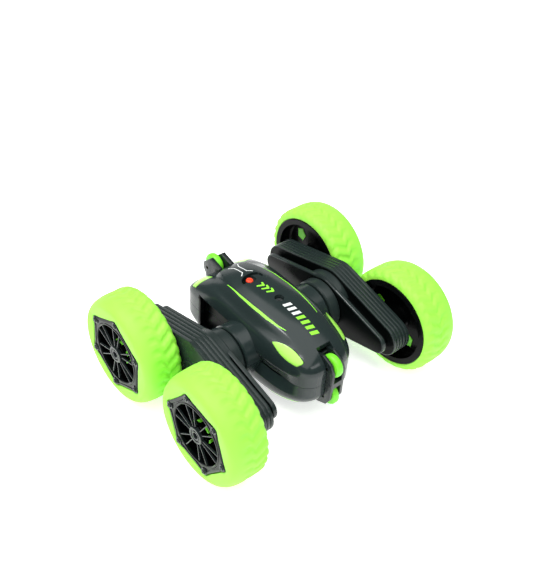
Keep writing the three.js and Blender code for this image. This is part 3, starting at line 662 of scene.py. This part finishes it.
def dome(inset, around=288, rings=64, detail=False, waist=0.0, bottom=SPLIT_GAP):
    """The closed upper half of the body, drawn in by the inset all over and by the waist low down."""
    sections = []
    walls = [(bottom, 1), (WALL_TOP - 0.9, 0.14), (WALL_TOP - 0.35, 0.03)] if waist else [(bottom, 0)]
    angles = full_turn(around)
    for z, share in walls:
        row = []
        for a in angles:
            y = plan_point(a, inset)[1]
            waisted = smooth_step(*WAIST_FADE, y) * (1 - smooth_step(WAIST_END, WAIST_END + 3, y))
            row.append((*plan_point(a, inset + waist * share * waisted), z))
        sections.append(row)
    for ring in range(rings + 1):
        out = math.cos(ring / rings * math.pi / 2)
        row = []
        for a in angles:
            plan_x, plan_y = plan_point(a, inset)
            spine = NOSE_SPINE if plan_y < 0 else TAIL_SPINE
            x, y = plan_x * out, plan_y * (spine + (1 - spine) * out)
            deck = deck_share(x, y)
            fall = RIDGE_DROP * (y - RIDGE_TOP) ** 2 + TAIL_DROP * max(0, y - TAIL_TOP) ** 2
            top = CREST - inset - fall - DECK_DROP * deck
            bulge = NOSE_BULGE + (WAIST_BULGE - NOSE_BULGE) * smooth_step(*WAIST_SPAN, y)
            bulge += (DECK_BULGE - WAIST_BULGE) * deck
            z = WALL_TOP + (top - WALL_TOP) * math.sqrt(max(0, 1 - out ** bulge))
            if detail:
                z += relief(x, y) * smooth_step(1.0, 0.8, out)
            row.append((x, y, z))
        sections.append(row)
    sections[-1] = [(0.0, y, z) for x, y, z in sections[-1]]
    verts, faces = loft(sections)
    return verts, faces[:-1]


def half_drum(radius, face):
    """Upper half of a cylinder round the pivot axis, with a chamfer on each end."""
    steps = 64
    arc = [(radius * math.cos(a), max(SPLIT_GAP, radius * math.sin(a)))
           for a in (math.pi * i / steps for i in range(steps + 1))]
    edge = 0.8
    inner_arc = [(y * (radius - edge) / radius, max(SPLIT_GAP, z * (radius - edge) / radius))
                 for y, z in arc]
    return loft([[(x, y, z) for y, z in outline] for x, outline in (
        (-face, inner_arc), (-face + edge, arc), (face - edge, arc), (face, inner_arc))])


def drum_inside():
    radius, face = BOSS_RADIUS - SHELL_WALL, BOSS_FACE - SHELL_WALL
    return slab([(radius * math.cos(a), radius * math.sin(a)) for a in full_turn(40)], -face, face)


FRONT_Y = (roller_front_low[1] + roller_front_high[1]) / 2
FRONT_Z = (roller_front_low[2] + roller_front_high[2]) / 2 - PIVOT_Z
REAR_Y = (roller_rear_low[1] + roller_rear_high[1]) / 2
REAR_Z = (roller_rear_low[2] + roller_rear_high[2]) / 2 - PIVOT_Z
ROLLER_RADIUS = (roller_front_high[2] - roller_front_low[2]) / 2
FRONT_HALF, REAR_HALF = roller_front_high[0], roller_rear_high[0]
ROLLER_WIDTH = 5
ROLLER_ROOM = 9.9
SLOT_FRONT_Y = FRONT_Y + ROLLER_ROOM
SLOT_REAR_Y = REAR_Y - ROLLER_ROOM
SCREW_Y = -4.2
KNOB_X = (knob_low[0] + knob_high[0]) / 2
KNOB_Y = (knob_low[1] + knob_high[1]) / 2


def quadratic(start, control, end, steps=16):
    """Points of a quadratic curve, without its last one."""
    return [tuple((1 - t) ** 2 * p + 2 * t * (1 - t) * q + t * t * r
                  for p, q, r in zip(start, control, end))
            for t in (i / steps for i in range(steps))]


def front_lamp(side, grow):
    """The leaf-shaped outline of one front lamp, grown all round."""
    tip, corner = (21.7, -23.8 + 1.5 * grow), (16.2 - grow, -45.6 - grow)
    nose = (19.6 + grow, -43.4 - grow)
    outline = quadratic(tip, (16.2 - grow, -33.0), corner)
    outline += quadratic(corner, (18.3, -45.6 - grow), nose, 6)
    outline += quadratic(nose, (23.6 + grow, -34.6), tip)
    return [(side * x, y) for x, y in outline]


def rear_lamp(side, grow):
    """The four-sided outline of one rear lamp, grown all round."""
    corners = [(12.2, TAIL_REACH - 4.5), (12.2, TAIL_REACH - 12.3), (23.4, TAIL_REACH - 9.8),
               (22.8, TAIL_REACH - 5.8)]
    middle_x, middle_y = (sum(c[i] for c in corners) / 4 for i in (0, 1))
    return [(side * (x + grow * math.copysign(1, x - middle_x)), y + grow * math.copysign(1, y - middle_y))
            for x, y in corners]


# The deep recess in the body's side, between the drum and the solid rear corner.
RECESS_X = 21.2
RECESS_Z = 12.8
RECESS_OUTLINE = [(9, RECESS_Z), (41.5, RECESS_Z), (39.6, RECESS_Z - 3), (39.6, 3 - RECESS_Z),
                  (41.5, -RECESS_Z), (9, -RECESS_Z)]


def make_shell(level, way):
    """One half of the body, made as the upper one and turned over for the lower one."""
    shell = raw_object(f"{level}_shell_skin", dome(0, detail=True, waist=WAIST_DEPTH))
    carve(shell, dome(SHELL_WALL + 1.2, around=96, rings=24, bottom=-1))
    for side in (-1, 1):
        liner_x = sorted((side * (RECESS_X - 1.2), side * (RECESS_X + 0.5)))
        carve(shell, block(liner_x, (11, 43), (SPLIT_GAP, RECESS_Z + 1)), "UNION")
        carve(shell, slab(RECESS_OUTLINE, *sorted((side * RECESS_X, side * 60))))
    carve(shell, half_drum(BOSS_RADIUS, BOSS_FACE), "UNION")
    carve(shell, drum_inside())
    slots = ((FRONT_HALF, (-CLEAR_BEYOND, SLOT_FRONT_Y)), (REAR_HALF, (SLOT_REAR_Y, CLEAR_BEYOND)))
    for half, slot_y in slots:
        carve(shell, block((-half - 0.3, half + 0.3), slot_y, (-1, CLEAR_ABOVE)))
    for side in (-1, 1):
        for lamp in (front_lamp, rear_lamp):
            carve(shell, prism(lamp(side, 0.4), LAMP_FLOOR, CLEAR_ABOVE))
    if level == "upper":
        carve(shell, post([(CREST - 4, 2.9), (CREST + 5, 2.9)], y=SCREW_Y))
        for cut in switch_recess():
            carve(shell, cut)
    if way < 0:
        shell.data.transform(Matrix.Diagonal((1, 1, -1, 1)))
        shell.data.flip_normals()
    piece(shell, "car_body", [f"{level}_shell"], SHELL_BLACK, sharp=28)

    # Painted shade: the faces in each side recess, its back wall among them, between the drum and the rear
    # corner, get the near-black painted-shade surface.
    def side_painted_shade(centre, _normal):
        return (abs(centre.x) > RECESS_X - 0.1 and BOSS_RADIUS < centre.y < 41.7
                and abs(centre.z) < RECESS_Z + 0.05)

    shade(shell, PAINTED_SHADE_BLACK, side_painted_shade)
    return shell


def switch_recess():
    """A deep arched slot behind the switch, and the shallow pocket that its knob slides in."""
    outer = [(-8.6, 18.9), (-8.2, 21.4), (-7.0, 23.3), (-4.2, 24.8), (-0.5, 25.4), (3.2, 24.9),
             (5.8, 23.3), (6.9, 20.8), (6.6, 18.4)]
    inner = [(5.3, 18.6), (5.0, 20.6), (3.0, 22.2), (-0.5, 22.9), (-3.6, 22.5), (-5.8, 21.4), (-6.4, 19.2)]
    pocket = [(-6.2, 19.4), (-5.6, 21.6), (-3.4, 22.8), (-0.4, 23.0), (0.9, 21.4), (1.0, 18.6),
              (-0.8, 17.0), (-4.8, 17.0)]
    return prism(outer + inner, CREST - 4.5, CREST + 4), prism(pocket, CREST - 1.3, CREST + 4)


shells = {level: make_shell(level, way) for level, way in LEVELS}
for side_name, side_sign in SIDES:
    make_arm(side_name, side_sign)
    for end_name, end_way in ENDS:
        make_wheel(end_name, end_way, side_name, side_sign)


def make_lenses(level, way):
    """Two windows to a lens bar. The first of them stands for the bar's CAD node."""
    for end, lamp in (("front", front_lamp), ("rear", rear_lamp)):
        lenses = []
        for side in (-1, 1):
            lens = raw_object(f"{level}_{end}_lens_{side}", prism(lamp(side, 0), WALL_TOP - 1, CLEAR_ABOVE))
            carve(lens, dome(-0.12, around=160, rings=40), "INTERSECT")
            lenses.append(lens)
        for lens, nodes in zip(lenses, ([f"{level}_{end}_lens"], [])):
            bevel(lens, 0.35)
            if way < 0:
                lens.data.transform(Matrix.Diagonal((1, 1, -1, 1)))
                lens.data.flip_normals()
            piece(lens, "car_body", nodes, LENS, sharp=40)


for level_name, level_way in LEVELS:
    make_lenses(level_name, level_way)


# ---------------------------------------------------------------- brackets and rollers
def mirrored_up(points):
    """An outline of (y, z) closed by its mirror image below."""
    return points + [(y, -z) for y, z in reversed(points)]


FRONT_BAR = FRONT_Y - 5.8
REAR_BAR = REAR_Y + 3.7
front_outline = mirrored_up([(SLOT_FRONT_Y - 0.3, FRONT_Z + 6), (FRONT_Y + 4, FRONT_Z + 7.5),
                             (FRONT_Y - 3, FRONT_Z + 4.5), (FRONT_BAR, FRONT_Z - 1)])
rear_outline = mirrored_up([(SLOT_REAR_Y - 3.9, REAR_Z + 2.2), (SLOT_REAR_Y - 2, REAR_Z + 5.8),
                            (REAR_Y - 2.1, REAR_Z + 8.2), (REAR_Y + 3.8, REAR_Z + 2.6),
                            (REAR_BAR, REAR_Z - 2.2), (REAR_BAR - 2.5, REAR_Z - 6)])
rear_outline += [(SLOT_REAR_Y + 0.3, 1.5 - REAR_Z), (SLOT_REAR_Y + 0.3, REAR_Z - 1.5)]


def bracket(name, outline, half, wall, back_y, back_z, bar_y):
    """Two cheeks joined by a back wall and a crossbar between the rollers."""
    cheeks = raw_object(name, slab(outline, half - wall, half))
    carve(cheeks, slab(outline, -half, wall - half), "UNION")
    carve(cheeks, block((-half, half), sorted(back_y), (-back_z, back_z)), "UNION")
    carve(cheeks, block((-half, half), sorted(bar_y), (-2, 2)), "UNION")
    bevel(cheeks, 0.45)
    piece(cheeks, "car_body", [name.replace("_skin", "")], BRACKET_BLACK)


bracket("front_bracket_skin", front_outline, FRONT_HALF, 2, (SLOT_FRONT_Y - 1.8, SLOT_FRONT_Y - 0.3),
        FRONT_Z + 4, (FRONT_BAR, FRONT_BAR + 3))
bracket("rear_bracket_skin", rear_outline, REAR_HALF, 3.2, (SLOT_REAR_Y + 0.3, SLOT_REAR_Y + 1.8),
        REAR_Z + 1, (REAR_BAR - 3, REAR_BAR))

for end_name, y, z, half in (("front", FRONT_Y, FRONT_Z, FRONT_HALF), ("rear", REAR_Y, REAR_Z, REAR_HALF)):
    for level_name, level_way in LEVELS:
        side_x, rim = ROLLER_WIDTH / 2, ROLLER_RADIUS
        profile = [(-half, 1.0), (-half, 1.2), (-side_x - 0.3, 1.2), (-side_x - 0.3, 2.6), (-side_x, 2.8),
                   (-side_x, rim - 1.6), (-side_x + 0.25, rim - 0.9), (-side_x + 0.8, rim - 0.3),
                   (-side_x + 1.5, rim)]
        profile += [(-x, r) for x, r in reversed(profile)]
        roller = moved(lathe(profile, 72), dy=y, dz=level_way * z)
        name = f"roller_{end_name}_{level_name}"
        piece(raw_object(f"{name}_skin", roller), name, [name], LIME_PLASTIC)


# ---------------------------------------------------------------- prints, screw and switch
def surface_of(obj):
    mesh = obj.data
    points = [obj.matrix_world @ v.co for v in mesh.vertices]
    return BVHTree.FromPolygons(points, [p.vertices[:] for p in mesh.polygons])


bpy.context.view_layer.update()
TOP_SURFACE = surface_of(shells["upper"])


def height_at(x, y):
    hit = TOP_SURFACE.ray_cast(Vector((x * MM, y * MM, 1)), Vector((0, 0, -1)))
    return hit[0].z / MM - PIVOT_Z if hit[0] else CREST


PRINT_PROUD = 0.1
PRINT_SUNK = 0.25
PRINT_CELLS = 3


def ribbon(pairs, cells):
    """A thin printed patch that follows the shell, from pairs of (left point, right point)."""
    rows = []
    for left, right in pairs:
        row = []
        for i in range(cells + 1):
            t = i / cells
            x, y = left[0] + (right[0] - left[0]) * t, left[1] + (right[1] - left[1]) * t
            row.append((x, y, height_at(x, y)))
        rows.append(row)
    return loft([[(x, y, z + PRINT_PROUD) for x, y, z in row]
                 + [(x, y, z - PRINT_SUNK) for x, y, z in row[::-1]] for row in rows])


def stroke(points, widths):
    """A ribbon along a polyline of (x, y), with a width at each point."""
    steps = 8
    pairs, dense, sizes = [], [], []
    for (a, b), (wa, wb) in zip(zip(points, points[1:]), zip(widths, widths[1:])):
        for i in range(steps):
            t = i / steps
            dense.append((a[0] + (b[0] - a[0]) * t, a[1] + (b[1] - a[1]) * t))
            sizes.append(wa + (wb - wa) * t)
    dense.append(points[-1])
    sizes.append(widths[-1])
    for i, (p, w) in enumerate(zip(dense, sizes)):
        before, after = dense[max(0, i - 1)], dense[min(len(dense) - 1, i + 1)]
        dx, dy = after[0] - before[0], after[1] - before[1]
        size = math.hypot(dx, dy)
        nx, ny = -dy / size * w / 2, dx / size * w / 2
        pairs.append(((p[0] + nx, p[1] + ny), (p[0] - nx, p[1] - ny)))
    return ribbon(pairs, PRINT_CELLS)


def add_print(name, parts, surface):
    obj = raw_object(name, merged(*parts))
    piece(obj, "car_body", [], surface)


left_stripe = [(-14.6, 27.6), (-15.7, 14.5), (-16.2, 0.6), (-15.9, -11.6), (-14.9, -20.4), (-13.2, -26)]
right_stripe = [(12.9, 26), (14.9, 16.9), (15.2, 5.2), (14.6, -5.4), (13.6, -14.9), (12.2, -25.4)]
add_print("left_stripe", [stroke(left_stripe, [0.3, 1.0, 1.5, 1.5, 1.0, 0.3])], LIME_PRINT)
add_print("right_stripe", [stroke(right_stripe, [0.3, 0.7, 0.9, 0.9, 0.7, 0.3])], LIME_PRINT)

chevrons = []
for tip_x, tip_y in ((0.1, 10.5), (0.7, 6.6), (1.2, 2.7)):
    chevrons.append(stroke([(tip_x + 0.9, tip_y + 2.9), (tip_x, tip_y), (tip_x - 4.0, tip_y + 1.9)],
                           [1.1, 1.5, 1.0]))
add_print("chevrons", chevrons, LIME_PRINT)

BARS, WHITE_BARS = 7, 3
BAR_START, BAR_PITCH, BAR_WIDTH, BAR_SLANT = -10.5, 4.1, 2.2, 0.6
bars_white, bars_lime = [], []
for i in range(BARS):
    y = BAR_START - BAR_PITCH * i
    bar = ribbon([((-2.5, y + BAR_SLANT), (-2.5, y - BAR_WIDTH + BAR_SLANT)),
                  ((0.2, y), (0.2, y - BAR_WIDTH)),
                  ((2.9, y - BAR_SLANT), (2.9, y - BAR_WIDTH - BAR_SLANT))], PRINT_CELLS)
    (bars_white if i < WHITE_BARS else bars_lime).append(bar)
add_print("bars_white", bars_white, WHITE_PRINT)
add_print("bars_lime", bars_lime, LIME_PRINT)

bracket_lines = []
for side in (-1, 1):
    line = [(side * 3.9, 40.4), (side * 1.7, 36.8), (side * 1.7, 28.8), (side * 4.5, 26.3)]
    bracket_lines.append(stroke(line, [0.6] * len(line)))
add_print("bracket_lines", bracket_lines, WHITE_PRINT)

screw = post([(CREST - 8, 1.2), (CREST - 4.2, 1.2), (CREST - 4.2, 2.6), (CREST - 1.7, 2.6),
              (CREST - 1.5, 2.4)], y=SCREW_Y)
screw_obj = raw_object("body_screw_skin", screw)
for wide, long in ((1.3, 0.22), (0.22, 1.3)):
    carve(screw_obj, block((-wide, wide), (SCREW_Y - long, SCREW_Y + long), (CREST - 2.2, CREST)))
piece(screw_obj, "car_body", ["body_screw"], SCREW_GREY)

KNOB_RADIUS = (knob_high[0] - knob_low[0]) / 2
knob = post([(CREST - 6.5, 1.0), (CREST - 1.2, 1.0), (CREST - 1.2, KNOB_RADIUS),
             (CREST - 0.2, KNOB_RADIUS), (CREST + 0.25, KNOB_RADIUS - 0.3),
             (CREST + 0.5, KNOB_RADIUS - 0.9), (CREST + 0.55, 0.6)], KNOB_X, KNOB_Y, 40)
piece(raw_object("knob_skin", knob), "power_switch_knob", ["power_switch_knob"], RED_PLASTIC)

# ---------------------------------------------------------------- CAD nodes that stay, inside the car
# The first word that is in the node's name gives its material.
KEPT = {"gear": ACETAL, "idler": ACETAL, "pinion": ACETAL, "bush": ACETAL, "motor": STEEL, "axle": STEEL,
        "output_shaft": STEEL, "power_switch": STEEL, "battery": WRAP, "circuit": BOARD}
replaced = {n for o in bpy.data.objects for n in o.get("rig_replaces", [])}
for node_name, node in frame["nodes"].items():
    if node_name in replaced:
        continue
    surface = next(m for key, m in KEPT.items() if key in node_name)
    node.data.materials.clear()
    node.data.materials.append(surface)

# ---------------------------------------------------------------- floor, light and camera
# The floor and the lights are placed in metres.
WHITE = (1, 1, 1, 1)
FLOOR_REACH = 3.0
FLOOR = material("floor", (0.95, 0.95, 0.95), 0.8, tint=0.01)
floor_shader = FLOOR.node_tree.nodes["Principled BSDF"]
floor_shader.inputs["Emission Color"].default_value = WHITE
floor_shader.inputs["Emission Strength"].default_value = 0.6
floor_mesh = bpy.data.meshes.new("floor")
floor_corners = ((-1, -1), (1, -1), (1, 1), (-1, 1))
floor_mesh.from_pydata([(x * FLOOR_REACH, y * FLOOR_REACH, 0) for x, y in floor_corners], [], [(0, 1, 2, 3)])
floor = bpy.data.objects.new("floor", floor_mesh)
floor_mesh.materials.append(FLOOR)
bpy.context.collection.objects.link(floor)

world = bpy.data.worlds.new("studio")
bpy.context.scene.world = world
world.use_nodes = True
sky = world.node_tree.nodes["Background"]
sky.inputs["Color"].default_value = WHITE
sky.inputs["Strength"].default_value = 0.15


def area_light(name, place, target, size, power):
    """A rectangular light at a place, turned to face the target."""
    data = bpy.data.lights.new(name, "AREA")
    data.shape = "RECTANGLE"
    data.size, data.size_y = size
    data.energy = power
    light = bpy.data.objects.new(name, data)
    light.location = place
    light.rotation_euler = (Vector(target) - Vector(place)).to_track_quat("-Z", "Y").to_euler()
    bpy.context.collection.objects.link(light)


area_light("overhead", (-0.30, -0.10, 1.4), (0, 0, 0), (2.6, 2.6), 35)
area_light("key", (-0.36, 0.24, 0.95), (0, 0, 0.03), (0.42, 0.26), 4.5)
area_light("nose", (-0.41, -0.38, 0.95), (0, 0, 0.03), (0.14, 0.14), 0.8)
area_light("front", (0.05, -0.9, 0.6), (0, 0, 0.03), (0.6, 0.15), 0.8)
area_light("backdrop", (1.0, 1.35, 0.35), (0, 0, 0.05), (2.4, 0.6), 4.0)

# Camera: where it stands round the car, how it is rolled, and how far it is off and to the side, in mm.
AZIMUTH = math.radians(-43.121)
ELEVATION = math.radians(40.789)
ROLL = math.radians(4.259)
DISTANCE = 575.74
ASIDE = -3.326
ALOFT = 22.813
LENS_MM = 56.25
SENSOR = 36.0
back = Vector((math.sin(AZIMUTH) * math.cos(ELEVATION), -math.cos(AZIMUTH) * math.cos(ELEVATION),
               math.sin(ELEVATION)))
level_right = Vector((math.cos(AZIMUTH), math.sin(AZIMUTH), 0))
level_up = back.cross(level_right)
right = math.cos(ROLL) * level_right + math.sin(ROLL) * level_up
up = -math.sin(ROLL) * level_right + math.cos(ROLL) * level_up
place = back * DISTANCE + right * ASIDE + up * ALOFT + Vector((0, 0, PIVOT_Z))
camera_data = bpy.data.cameras.new("camera")
camera_data.sensor_width = SENSOR
camera_data.lens = LENS_MM
camera_data.clip_start = 0.01
camera_data.clip_end = 20
camera = bpy.data.objects.new("camera", camera_data)
turned = Matrix((right, up, back)).transposed().to_4x4()
turned.translation = place * MM
camera.matrix_world = turned
bpy.context.collection.objects.link(camera)
bpy.context.scene.camera = camera
bpy.context.scene.view_settings.view_transform = "Standard"
